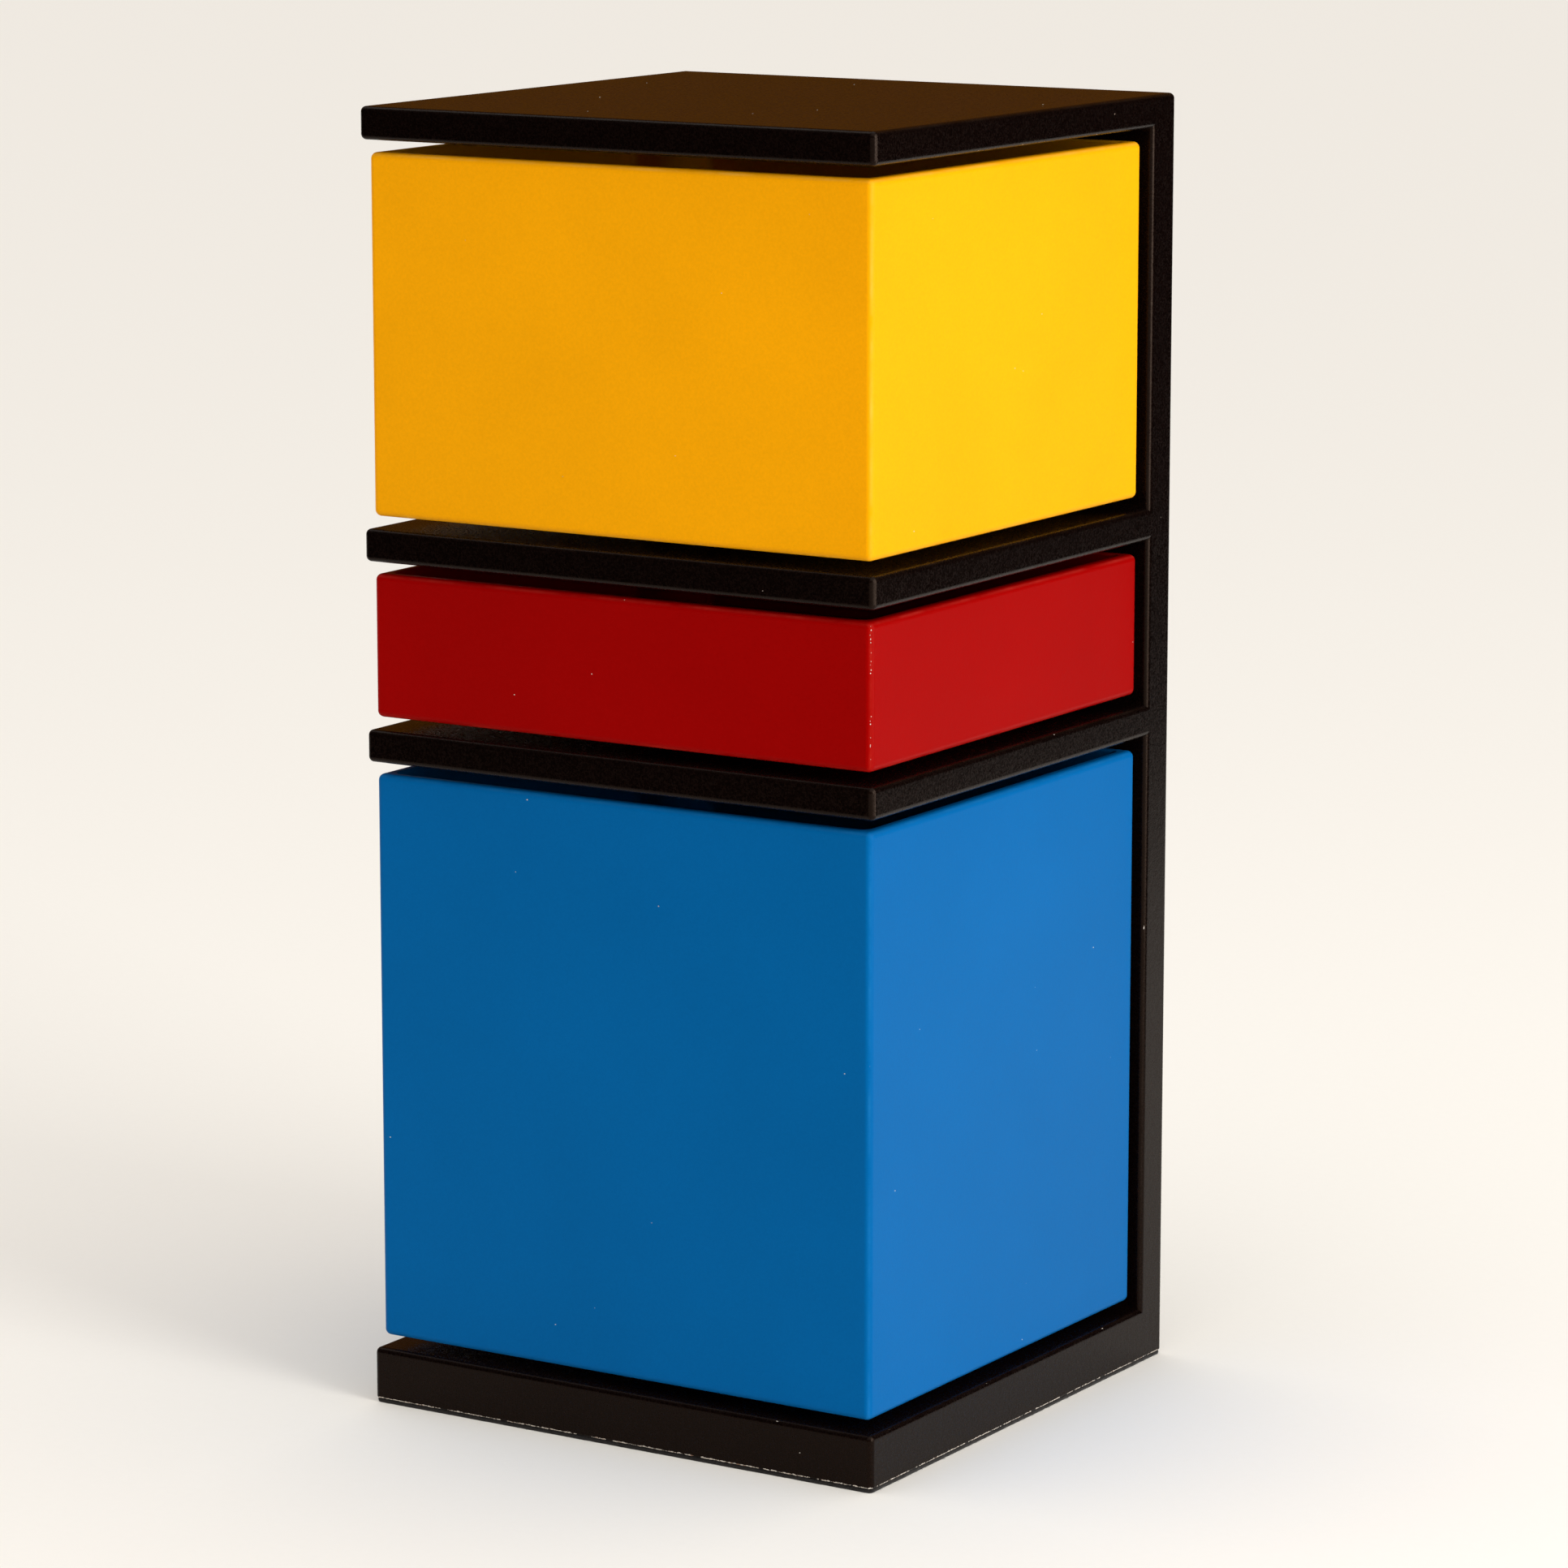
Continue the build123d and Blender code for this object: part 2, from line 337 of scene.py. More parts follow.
def turned_brass():
    """Turned brass bearing tube: yellow, with rings from the lathe and brown tarnish in spots."""
    material, tree, place = new_material("turned_brass")
    # Turning marks are drawn 0.25 mm apart so that they show.
    rings = add(
        tree, "ShaderNodeTexWave",
        {"Vector": place, "Scale": 1 / (0.25 * MM), "Distortion": 1.5, "Detail": 1.0},
        bands_direction="Z"
    )
    spots = add(tree, NOISE, {"Vector": place, "Scale": 1 / (1.6 * MM), "Detail": 4.0})
    tint = add(
        tree, RAMP, {"Fac": spots}, stops=((0.35, linear("8E6A33")), (0.6, linear("D9B25C")))
    )
    rough = add(tree, RANGE, (rings.outputs["Fac"], 0.0, 1.0, 0.24, 0.36))
    bump = add(tree, BUMP, {"Height": rings.outputs["Fac"], "Strength": 0.2, "Distance": 0.01 * MM})
    return surface(
        material, {"Base Color": tint, "Metallic": 1.0, "Roughness": rough, "Normal": bump}
    )


def moulded_nylon():
    """Natural moulded nylon: milky, a little see-through, with faint flow swirls."""
    material, tree, place = new_material("moulded_nylon")
    swirl = add(
        tree, NOISE, {"Vector": place, "Scale": 1 / (2 * MM), "Detail": 2.0, "Distortion": 1.2}
    )
    texture = add(tree, NOISE, {"Vector": place, "Scale": 1 / (0.25 * MM), "Detail": 1.0})
    tint = add(tree, RAMP, {"Fac": swirl}, stops=((0.0, linear("D8CFB8")), (1.0, linear("EFEADC"))))
    rough = add(tree, RANGE, (texture, 0.0, 1.0, 0.38, 0.55))
    bump = add(tree, BUMP, {"Height": texture, "Strength": 0.25, "Distance": 0.02 * MM})
    return surface(
        material,
        {
            "Base Color": tint, "Roughness": rough, "Normal": bump, "IOR": 1.53,
            "Subsurface Weight": 0.25, "Subsurface Radius": (1.0, 0.9, 0.75),
            "Subsurface Scale": 0.6 * MM
        }
    )


def soft_rubber():
    """Dark grey moulded rubber: matt, a little dusty, with a fine eroded-mould texture."""
    material, tree, place = new_material("soft_rubber")
    dust = add(
        tree, NOISE, {"Vector": place, "Scale": 1 / (0.9 * MM), "Detail": 5.0, "Roughness": 0.7}
    )
    skin = add(tree, NOISE, {"Vector": place, "Scale": 1 / (0.2 * MM), "Detail": 2.0})
    tint = add(
        tree, RAMP, {"Fac": dust}, stops=((0.45, linear("1C1B1A")), (0.75, linear("4A4743")))
    )
    rough = add(tree, RANGE, (skin, 0.0, 1.0, 0.68, 0.9))
    bump = add(tree, BUMP, {"Height": skin, "Strength": 0.4, "Distance": 0.03 * MM})
    return surface(material, {"Base Color": tint, "Roughness": rough, "Normal": bump, "IOR": 1.52})


def pressed_felt():
    """Black pressed wool felt: fibres matted in all directions, dull, with a soft sheen."""
    material, tree, place = new_material("pressed_felt")
    # Wool fibres are 0.02 mm thick; their bundles are drawn 0.15 mm wide and 1.5 mm long.
    layers = []
    for turn in (0.0, 1.1, 2.2):
        laid = add(
            tree, "ShaderNodeMapping",
            {
                "Vector": place, "Rotation": (0.0, 0.0, turn),
                "Scale": (1 / (0.15 * MM), 1 / (1.5 * MM), 1 / (0.15 * MM))
            }
        )
        fibres = {"Vector": laid, "Scale": 1.0, "Detail": 2.0, "Distortion": 0.6}
        layers.append(add(tree, NOISE, fibres))
    top = add(tree, MATH, (layers[0], layers[1]), operation="MAXIMUM")
    mat = add(tree, MATH, (top, layers[2]), operation="MAXIMUM")
    tint = add(tree, RAMP, {"Fac": mat}, stops=((0.4, linear("060505")), (0.8, linear("2B2725"))))
    bump = add(tree, BUMP, {"Height": mat, "Strength": 0.8, "Distance": 0.06 * MM})
    return surface(
        material,
        {
            "Base Color": tint, "Roughness": 0.95, "Normal": bump, "Sheen Weight": 0.2,
            "Sheen Roughness": 0.5, "Specular IOR Level": 0.2
        }
    )


def chalky_undercoat():
    """Pale primer, bared where the lacquer is chipped: dead matt and slightly dirty."""
    material, tree, place = new_material("chalky_undercoat")
    dirt = add(
        tree, NOISE, {"Vector": place, "Scale": 1 / (0.5 * MM), "Detail": 3.0, "Roughness": 0.6}
    )
    bare = bpy.context.scene.tower_lacquer.undercoat
    tint = add(tree, RAMP, {"Fac": dirt}, stops=((0.34, linear("8A6A55")), (0.46, bare)))
    bump = add(tree, BUMP, {"Height": dirt, "Strength": 0.3, "Distance": 0.02 * MM})
    return surface(material, {"Base Color": tint, "Roughness": 0.85, "Normal": bump})


def paper_floor():
    """Matt cartridge paper: pale, with a fibre texture too fine to show as more than softness."""
    settings = bpy.context.scene.tower_stage
    material, tree, place = new_material("paper_floor")
    fibres = add(tree, NOISE, {"Vector": place, "Scale": 1 / (1.2 * MM), "Detail": 3.0})
    tint = add(tree, RANGE, (fibres, 0.0, 1.0, 0.99, 1.01))
    colour = add(tree, "ShaderNodeHueSaturation", {"Value": tint, "Color": settings.floor})
    return surface(material, {"Base Color": colour, "Roughness": 0.95, "Specular IOR Level": 0.1})


def studio_card(name, glow, strength):
    """Studio card that gives off one even tone: black for a flag, bright for a strip light. It is
    only seen in reflections, where an even tone shows how flat the lacquer is."""
    material, _, _ = new_material(name)
    return surface(material, {"Color": glow, "Strength": strength}, "ShaderNodeEmission")


def dress(nodes, material):
    """Gives CAD nodes a material in place of their plain one."""
    for node in nodes:
        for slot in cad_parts[node].material_slots:
            slot.material = material


# Pieces


def new_piece(name, mesh_work):
    """A new object at the origin whose mesh is what a bmesh holds."""
    mesh = bpy.data.meshes.new(name)
    mesh_work.to_mesh(mesh)
    mesh_work.free()
    piece = bpy.data.objects.new(name, mesh)
    bpy.context.scene.collection.objects.link(piece)
    return piece


def points_piece(name, places):
    """A new object with a loose point at each place, for a tree to build on."""
    work = bmesh.new()
    for place in places:
        work.verts.new(place)
    return new_piece(name, work)


def path_piece(name, paths):
    """A new object with an edge line along each path, for a tree to follow."""
    work = bmesh.new()
    for path in paths:
        line = [work.verts.new(place) for place in path]
        for start, end in zip(line, line[1:]):
            work.edges.new((start, end))
    return new_piece(name, work)


def grow(piece, tree, values):
    """Puts a tree on a piece, and turns the result into the piece's plain mesh, facing outwards."""
    modifier = piece.modifiers.new(tree.name, "NODES")
    modifier.node_group = tree
    sockets = {
        item.name: item.identifier
        for item in tree.interface.items_tree
        if item.item_type == "SOCKET" and item.in_out == "INPUT"
    }
    for name, value in values.items():
        modifier[sockets[name]] = value
    bpy.context.view_layer.update()
    evaluated = piece.evaluated_get(bpy.context.evaluated_depsgraph_get())
    grown = bpy.data.meshes.new_from_object(evaluated)
    piece.modifiers.clear()
    seed_mesh = piece.data
    piece.data = grown
    bpy.data.meshes.remove(seed_mesh)
    grown.name = piece.name
    if not grown.polygons:
        raise RuntimeError(f"{piece.name}: the {tree.name} tree made no faces")
    work = bmesh.new()
    work.from_mesh(grown)
    bmesh.ops.recalc_face_normals(work, faces=work.faces)
    work.to_mesh(grown)
    work.free()
    grown.shade_smooth()
    grown.set_sharp_from_angle(angle=SOFT_ANGLE)


def new_tree(name, **labels):
    """A Geometry Nodes tree with these labels of inputs of each kind, and a material.
    Returns the tree and its input sockets."""
    tree = bpy.data.node_groups.new(name, "GeometryNodeTree")
    tree.interface.new_socket("Geometry", in_out="INPUT", socket_type="NodeSocketGeometry")
    for kind, group in {**labels, "Material": ["Material"]}.items():
        for label in group:
            tree.interface.new_socket(label, in_out="INPUT", socket_type=f"NodeSocket{kind}")
    tree.interface.new_socket("Geometry", in_out="OUTPUT", socket_type="NodeSocketGeometry")
    return tree, tree.nodes.new("NodeGroupInput").outputs


def end_tree(tree, geometry, material):
    """Ends a tree in Realize Instances and Set Material."""
    real = add(tree, "GeometryNodeRealizeInstances", {"Geometry": geometry})
    dressed = add(tree, "GeometryNodeSetMaterial", {"Geometry": real, "Material": material})
    add(tree, "NodeGroupOutput", (dressed,))


def washer_tree():
    """A moulded washer with rounded edges on every point."""
    tree, given = new_tree("moulded_washer", Float=("Bore", "Radius", "Thickness", "Edge"))
    across = add(tree, MATH, (given["Radius"], given["Bore"]), operation="SUBTRACT")
    both = add(tree, MATH, (given["Radius"], given["Bore"]), operation="ADD")
    middle = add(tree, MATH, (both, 0.5), operation="MULTIPLY")
    ring = add(tree, "GeometryNodeCurvePrimitiveCircle", {"Resolution": 72, "Radius": middle})
    level = add(tree, "GeometryNodeSetCurveNormal", {"Curve": ring}, mode="Z_UP")
    section = add(
        tree, "GeometryNodeCurvePrimitiveQuadrilateral",
        {"Width": across, "Height": given["Thickness"]}
    )
    rounded = add(
        tree, "GeometryNodeFilletCurve", {"Curve": section, "Count": 4, "Radius": given["Edge"]},
        mode="POLY"
    )
    washer = add(tree, "GeometryNodeCurveToMesh", {"Curve": level, "Profile Curve": rounded})
    placed = add(tree, INSTANCE, {"Points": given["Geometry"], "Instance": washer})
    end_tree(tree, placed, given["Material"])
    return tree


def stop_pad_tree():
    """A full, domed pad on every point, flat against a wall behind it."""
    tree, given = new_tree("domed_stop_pad", Float=("Radius", "Height", "Fullness"))
    disc = add(
        tree, "GeometryNodeMeshCylinder",
        {"Vertices": 56, "Side Segments": 1, "Fill Segments": 14, "Radius": 1.0, "Depth": 1.0},
        fill_type="TRIANGLE_FAN"
    )
    place = add(tree, "GeometryNodeInputPosition")
    parts = add(tree, SPLIT, (place,)).outputs
    level = add(tree, VECTOR, (place, (1.0, 1.0, 0.0)), operation="MULTIPLY")
    # The rings of the upper face crowd towards the rim, where the dome turns down steeply.
    share = add(tree, VECTOR, (level,), operation="LENGTH")
    turn = add(tree, MATH, (share.outputs["Value"], math.pi / 2), operation="MULTIPLY")
    crowded = add(tree, MATH, (turn,), operation="SINE")
    power = add(tree, MATH, (crowded, given["Fullness"]), operation="POWER")
    rest = add(tree, MATH, (1.0, power), operation="SUBTRACT", use_clamp=True)
    root = add(tree, MATH, (1.0, given["Fullness"]), operation="DIVIDE")
    rise = add(tree, MATH, (rest, root), operation="POWER")
    up = add(tree, MATH, (parts[2], 0.0), operation="GREATER_THAN")
    height = add(tree, MATH, (rise, up), operation="MULTIPLY")
    outward = add(tree, VECTOR, (level,), operation="NORMALIZE")
    spread = add(tree, VECTOR, {0: outward, "Scale": crowded}, operation="SCALE")
    lift = add(tree, JOIN, {"Z": height})
    target = add(tree, VECTOR, (spread, lift), operation="ADD")
    dome = add(tree, MOVE, {"Geometry": disc, "Position": target})
    closed = add(tree, "GeometryNodeMergeByDistance", {"Geometry": dome, "Distance": 1e-4})
    size = add(tree, JOIN, {"X": given["Radius"], "Y": given["Radius"], "Z": given["Height"]})
    placed = add(
        tree, INSTANCE,
        {
            "Points": given["Geometry"], "Instance": closed,
            "Rotation": (math.radians(90), 0.0, 0.0), "Scale": size
        }
    )
    end_tree(tree, placed, given["Material"])
    return tree


def cove_tree():
    """Lacquer pooled along every edge line, hollow towards the open side of the corner."""
    tree, given = new_tree("lacquer_cove", Float=("Size", "Drop"))
    line = add(tree, "GeometryNodeMeshToCurve", {"Mesh": given["Geometry"]})
    level = add(tree, "GeometryNodeSetCurveNormal", {"Curve": line}, mode="Z_UP")
    drop = add(tree, MATH, (given["Size"], given["Drop"]), operation="MULTIPLY")
    out = add(tree, JOIN, {"X": given["Size"]})
    down = add(tree, JOIN, {"Y": drop})
    both = add(tree, VECTOR, (out, down), operation="ADD")
    hollow = add(tree, VECTOR, {0: both, "Scale": 0.3}, operation="SCALE")
    section = add(
        tree, "GeometryNodeCurvePrimitiveQuadrilateral",
        {"Point 1": (0.0, 0.0, 0.0), "Point 2": out, "Point 3": hollow, "Point 4": down},
        mode="POINTS"
    )
    bead = add(
        tree, "GeometryNodeCurveToMesh",
        {"Curve": level, "Profile Curve": section, "Fill Caps": True}
    )
    end_tree(tree, bead, given["Material"])
    return tree


def chip_tree():
    """Flat, ragged chips along every edge line, laid on the surface nearest to it."""
    tree, given = new_tree(
        "arris_chips", Object=("Surface",), Int=("Seed",),
        Float=("Spacing", "Scatter", "Width", "Stretch", "Bare share")
    )
    line = add(tree, "GeometryNodeMeshToCurve", {"Mesh": given["Geometry"]})
    points = add(
        tree, "GeometryNodeCurveToPoints", {"Curve": line, "Length": given["Spacing"]},
        mode="LENGTH"
    )
    low = add(tree, MATH, (given["Scatter"], -1.0), operation="MULTIPLY")
    stray = add(
        tree, RANDOM, {0: low, 1: given["Scatter"], "Seed": given["Seed"]}, data_type="FLOAT_VECTOR"
    )
    strayed = add(tree, MOVE, {"Geometry": points, "Offset": stray})
    # Chips come in runs of a few millimetres, with whole lacquer between.
    place = add(tree, "GeometryNodeInputPosition")
    runs = add(
        tree, NOISE, {"Vector": place, "Scale": 1 / CHIP_RUN, "Detail": 4.0, "Roughness": 0.7}
    )
    whole = add(tree, MATH, (runs, given["Bare share"]), operation="GREATER_THAN")
    kept = add(tree, "GeometryNodeDeleteGeometry", {"Geometry": strayed, "Selection": whole})
    info = add(
        tree, "GeometryNodeObjectInfo", {"Object": given["Surface"]}, transform_space="ORIGINAL"
    )
    skin = info.outputs["Geometry"]
    near = add(tree, "GeometryNodeProximity", (skin,), target_element="FACES")
    laid = add(tree, MOVE, {"Geometry": kept, "Position": near})
    normal = add(tree, "GeometryNodeInputNormal")
    outward = add(
        tree, "GeometryNodeSampleNearestSurface", {"Mesh": skin, "Value": normal},
        data_type="FLOAT_VECTOR"
    )
    up = add(
        tree, "FunctionNodeAlignRotationToVector", {"Vector": outward.outputs["Value"]}, axis="Z"
    )
    along = add(
        tree, "FunctionNodeAlignRotationToVector",
        {"Rotation": up, "Vector": points.outputs["Tangent"]}, axis="X", pivot_axis="Z"
    )
    size = add(tree, RANDOM, {2: 0.35, 3: 1.3, "Seed": given["Seed"]}, data_type="FLOAT")
    width = add(tree, MATH, (size.outputs[1], given["Width"]), operation="MULTIPLY")
    half = add(tree, MATH, (width, 0.5), operation="MULTIPLY")
    length = add(tree, MATH, (half, given["Stretch"]), operation="MULTIPLY")
    scale = add(tree, JOIN, {"X": length, "Y": half, "Z": FLAKE_THICKNESS})
    flake = add(tree, "GeometryNodeMeshIcoSphere", {"Radius": 1.0, "Subdivisions": 2})
    placed = add(
        tree, INSTANCE, {"Points": laid, "Instance": flake, "Rotation": along, "Scale": scale}
    )
    real = add(tree, "GeometryNodeRealizeInstances", {"Geometry": placed})
    ragged = add(tree, NOISE, {"Vector": place, "Scale": 1 / TEAR_WIDTH, "Detail": 1.0})
    centred = add(tree, VECTOR, (ragged.outputs["Color"], (0.5, 0.5, 0.5)), operation="SUBTRACT")
    push = add(tree, VECTOR, {0: centred, "Scale": TEAR}, operation="SCALE")
    torn = add(tree, MOVE, {"Geometry": real, "Offset": push})
    end_tree(tree, torn, given["Material"])
    return tree


def speck_tree():
    """Dust specks caught in the lacquer, on the outer faces that lie in a box's sides."""
    tree, given = new_tree(
        "caught_dust", Vector=("Low corner", "High corner"), Float=("Density", "Width"),
        Int=("Seed",)
    )
    points = add(
        tree, "GeometryNodeDistributePointsOnFaces",
        {"Mesh": given["Geometry"], "Density": given["Density"], "Seed": given["Seed"]}
    )
    place = add(tree, "GeometryNodeInputPosition")
    gaps = []
    for corner in ("Low corner", "High corner"):
        away = add(tree, VECTOR, (place, given[corner]), operation="SUBTRACT")
        gaps.append(add(tree, VECTOR, (away,), operation="ABSOLUTE"))
    nearest = add(tree, VECTOR, gaps, operation="MINIMUM")
    parts = add(tree, SPLIT, (nearest,)).outputs
    sides = add(tree, MATH, (parts[0], parts[1]), operation="MINIMUM")
    least = add(tree, MATH, (sides, parts[2]), operation="MINIMUM")
    inside = add(tree, MATH, (least, OUTER), operation="GREATER_THAN")
    kept = add(tree, "GeometryNodeDeleteGeometry", {"Geometry": points, "Selection": inside})
    size = add(tree, RANDOM, {2: 0.4, 3: 1.4, "Seed": given["Seed"]}, data_type="FLOAT")
    half = add(tree, MATH, (given["Width"], 0.5), operation="MULTIPLY")
    wide = add(tree, MATH, (half, size.outputs[1]), operation="MULTIPLY")
    longer = add(tree, MATH, (wide, 1.5), operation="MULTIPLY")
    flat = add(tree, MATH, (wide, 0.4), operation="MULTIPLY")
    scale = add(tree, JOIN, {"X": longer, "Y": wide, "Z": flat})
    speck = add(tree, "GeometryNodeMeshIcoSphere", {"Radius": 1.0, "Subdivisions": 2})
    placed = add(
        tree, INSTANCE,
        {"Points": kept, "Instance": speck, "Rotation": points.outputs["Rotation"], "Scale": scale}
    )
    end_tree(tree, placed, given["Material"])
    return tree


def fuzz_tree():
    """Loose fibres standing out of a sheet's cut edge."""
    tree, given = new_tree("felt_fuzz", Float=("Density", "Length", "Width"), Int=("Seed",))
    normal = add(tree, "GeometryNodeInputNormal")
    parts = add(tree, SPLIT, (normal,)).outputs
    steep = add(tree, MATH, (parts[2],), operation="ABSOLUTE")
    side = add(tree, MATH, (steep, 0.6), operation="LESS_THAN")
    points = add(
        tree, "GeometryNodeDistributePointsOnFaces",
        {
            "Mesh": given["Geometry"], "Selection": side, "Density": given["Density"],
            "Seed": given["Seed"]
        }
    )
    # One fibre leaves the edge square to it and bends over.
    bent = add(
        tree, "GeometryNodeCurveQuadraticBezier",
        {
            "Resolution": 4, "Start": (0.0, 0.0, -0.1), "Middle": (0.05, 0.0, 0.7),
            "End": (0.7, 0.0, 0.8)
        }
    )
    relative = add(tree, MATH, (given["Width"], given["Length"]), operation="DIVIDE")
    radius = add(tree, MATH, (relative, 0.5), operation="MULTIPLY")
    section = add(tree, "GeometryNodeCurvePrimitiveCircle", {"Resolution": 3, "Radius": radius})
    fibre = add(
        tree, "GeometryNodeCurveToMesh",
        {"Curve": bent, "Profile Curve": section, "Fill Caps": True}
    )
    turn = add(
        tree, RANDOM, {0: (-0.6, -0.6, -math.pi), 1: (0.6, 0.6, math.pi), "Seed": given["Seed"]},
        data_type="FLOAT_VECTOR"
    )
    turned = add(
        tree, "FunctionNodeRotateRotation",
        {"Rotation": points.outputs["Rotation"], "Rotate By": turn}, rotation_space="LOCAL"
    )
    size = add(tree, RANDOM, {2: 0.4, 3: 1.0, "Seed": given["Seed"]}, data_type="FLOAT")
    scale = add(tree, MATH, (size.outputs[1], given["Length"]), operation="MULTIPLY")
    placed = add(
        tree, INSTANCE, {"Points": points, "Instance": fibre, "Rotation": turned, "Scale": scale}
    )
    # The fibres that reach the table lie on it.
    real = add(tree, "GeometryNodeRealizeInstances", {"Geometry": placed})
    place = add(tree, "GeometryNodeInputPosition")
    free = add(tree, SPLIT, (place,)).outputs
    height = add(tree, MATH, (free[2], LYING), operation="MAXIMUM")
    held = add(tree, JOIN, {"X": free[0], "Y": free[1], "Z": height})
    lying = add(tree, MOVE, {"Geometry": real, "Position": held})
    end_tree(tree, lying, given["Material"])
    return tree


def pivot_axis():
    """Where the pivot rod stands, as X and Y."""
    low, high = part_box("pivot_rod")
    return (low.x + high.x) / 2, (low.y + high.y) / 2


def rounded_rectangle(low, high, radius, step):
    """Points about a step apart round a rectangle with rounded corners."""
    middle = ((low.x + high.x) / 2, (low.y + high.y) / 2)
    points = []
    turns = max(3, round(radius * math.pi / 2 / step))
    for start, (sx, sy) in zip(range(4), ((1, 1), (-1, 1), (-1, -1), (1, -1))):
        cx = middle[0] + sx * ((high.x - low.x) / 2 - radius)
        cy = middle[1] + sy * ((high.y - low.y) / 2 - radius)
        for i in range(turns + 1):
            angle = math.pi / 2 * (start + i / turns)
            points.append(Vector((cx + radius * math.cos(angle), cy + radius * math.sin(angle))))
    closed = points + points[:1]
    filled = []
    for a, b in zip(closed, closed[1:]):
        count = max(1, round((b - a).length / step))
        filled += [a.lerp(b, i / count) for i in range(count)]
    return filled


def felt_sheet(low, high, wander):
    """A thin sheet with rounded corners, whose cut edge bulges and wanders a little."""
    outline = rounded_rectangle(low, high, FELT_CORNER, FELT_STEP)
    thickness = high.z - low.z
    work = bmesh.new()
    rings = []
    for share, bulge in FELT_SECTION:
        ring = []
        for before, point, after in zip(outline[-1:] + outline, outline, outline[1:] + outline[:1]):
            along = (after - before).normalized()
            out = Vector((along.y, -along.x))
            seat = Vector((point.x, point.y, low.z + share * thickness))
            stray = noise.noise(seat / (0.7 * MM)) + 0.5 * noise.noise(seat / (6 * MM))
            push = wander * (bulge + stray)
            ring.append(work.verts.new(seat + Vector((out.x, out.y, 0.0)) * push))
        rings.append(ring)
    for lower, upper in zip(rings, rings[1:]):
        for i, vert in enumerate(lower):
            j = (i + 1) % len(lower)
            work.faces.new((vert, lower[j], upper[j], upper[i]))
    work.faces.new(rings[-1])
    work.faces.new(list(reversed(rings[0])))
    bmesh.ops.triangulate(work, faces=[face for face in work.faces if len(face.verts) > 4])
    bmesh.ops.recalc_face_normals(work, faces=work.faces)
    return work


class Step:
    """What the tower's operators have in common."""

    bl_options = {"REGISTER", "UNDO"}


class TOWER_OT_boards(Step, bpy.types.Operator):
    """Lacquer the stand's five boards black"""

    bl_idname = "tower.boards"
    bl_label = "Lacquer Stand"

    def execute(self, context):
        settings = context.scene.tower_lacquer
        # An amber clear coat over the black tints what it reflects. Both lacquers' IOR is below a
        # lacquer's usual 1.5, which keeps the colours deep.
        # The paler arris colour is part rubbing and part painted highlight.
        finish = lacquer(
            "satin_black_lacquer", settings.black, rub_and_highlight_colour=linear("38302A"), rub_and_highlight=0.12, ior=1.21,
            gloss_tint=linear("FFDCC4"), roughness=0.25, speckle=0.5, texture=0.1, chip_share=0.03
        )
        dress(BOARDS, finish)
        return {"FINISHED"}


class TOWER_OT_boxes(Step, bpy.types.Operator):
    """Lacquer the three boxes, each in its own colour"""

    bl_idname = "tower.boxes"
    bl_label = "Lacquer Boxes"

    def execute(self, context):
        settings = context.scene.tower_lacquer
        # Each box's body colour, paler arris colour, gloss tint and chip share. The paler arris
        # colour is part rubbing and part painted highlight.
        finishes = {
            "yellow": (settings.yellow, "FFD770", "FFE9A8", 0.0),
            "red": (settings.red, "D84A3C", "FF9A8C", 0.03),
            "blue": (settings.blue, "2F86C4", "9CCBFF", 0.0)
        }
        for colour, (body, rub_and_highlight_colour, tint, chips) in finishes.items():
            finish = lacquer(
                f"satin_{colour}_lacquer", body, rub_and_highlight_colour=linear(rub_and_highlight_colour), rub_and_highlight=0.25, ior=1.14,
                gloss_tint=linear(tint), roughness=0.38, speckle=0.035, texture=0.06,
                chip_share=chips
            )
            dress([f"{colour}_box"], finish)
        return {"FINISHED"}


class TOWER_OT_pivot(Step, bpy.types.Operator):
    """Finish the steel pivot rod and the three brass bearing tubes"""

    bl_idname = "tower.pivot"
    bl_label = "Finish Pivot"

    def execute(self, context):
        dress(["pivot_rod"], drawn_steel())
        dress([f"{colour}_sleeve" for colour in COLOURS], turned_brass())
        return {"FINISHED"}


class TOWER_OT_washers(Step, bpy.types.Operator):
    """Mould the six spacing washers, three on the stand and one on each box"""

    bl_idname = "tower.washers"
    bl_label = "Mould Washers"

    def execute(self, context):
        settings = context.scene.tower_hardware
        tree = washer_tree()
        nylon = moulded_nylon()
        groups = {"stand_washers": ("stand", [f"{colour}_lower_washer" for colour in COLOURS])}
        for colour in COLOURS:
            groups[f"{colour}_top_washer"] = (f"{colour}_tray", [f"{colour}_upper_washer"])
        x, y = pivot_axis()
        for name, (body, nodes) in groups.items():
            boxes = [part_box(node) for node in nodes]
            low, high = boxes[0]
            piece = points_piece(name, [(x, y, (a.z + b.z) / 2) for a, b in boxes])
            grow(
                piece, tree,
                {
                    "Bore": WASHER_BORE, "Radius": (high.x - low.x) / 2 - settings.washer_play,
                    "Thickness": high.z - low.z, "Edge": settings.washer_edge, "Material": nylon
                }
            )
            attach(piece, body)
            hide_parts(*nodes)
        return {"FINISHED"}


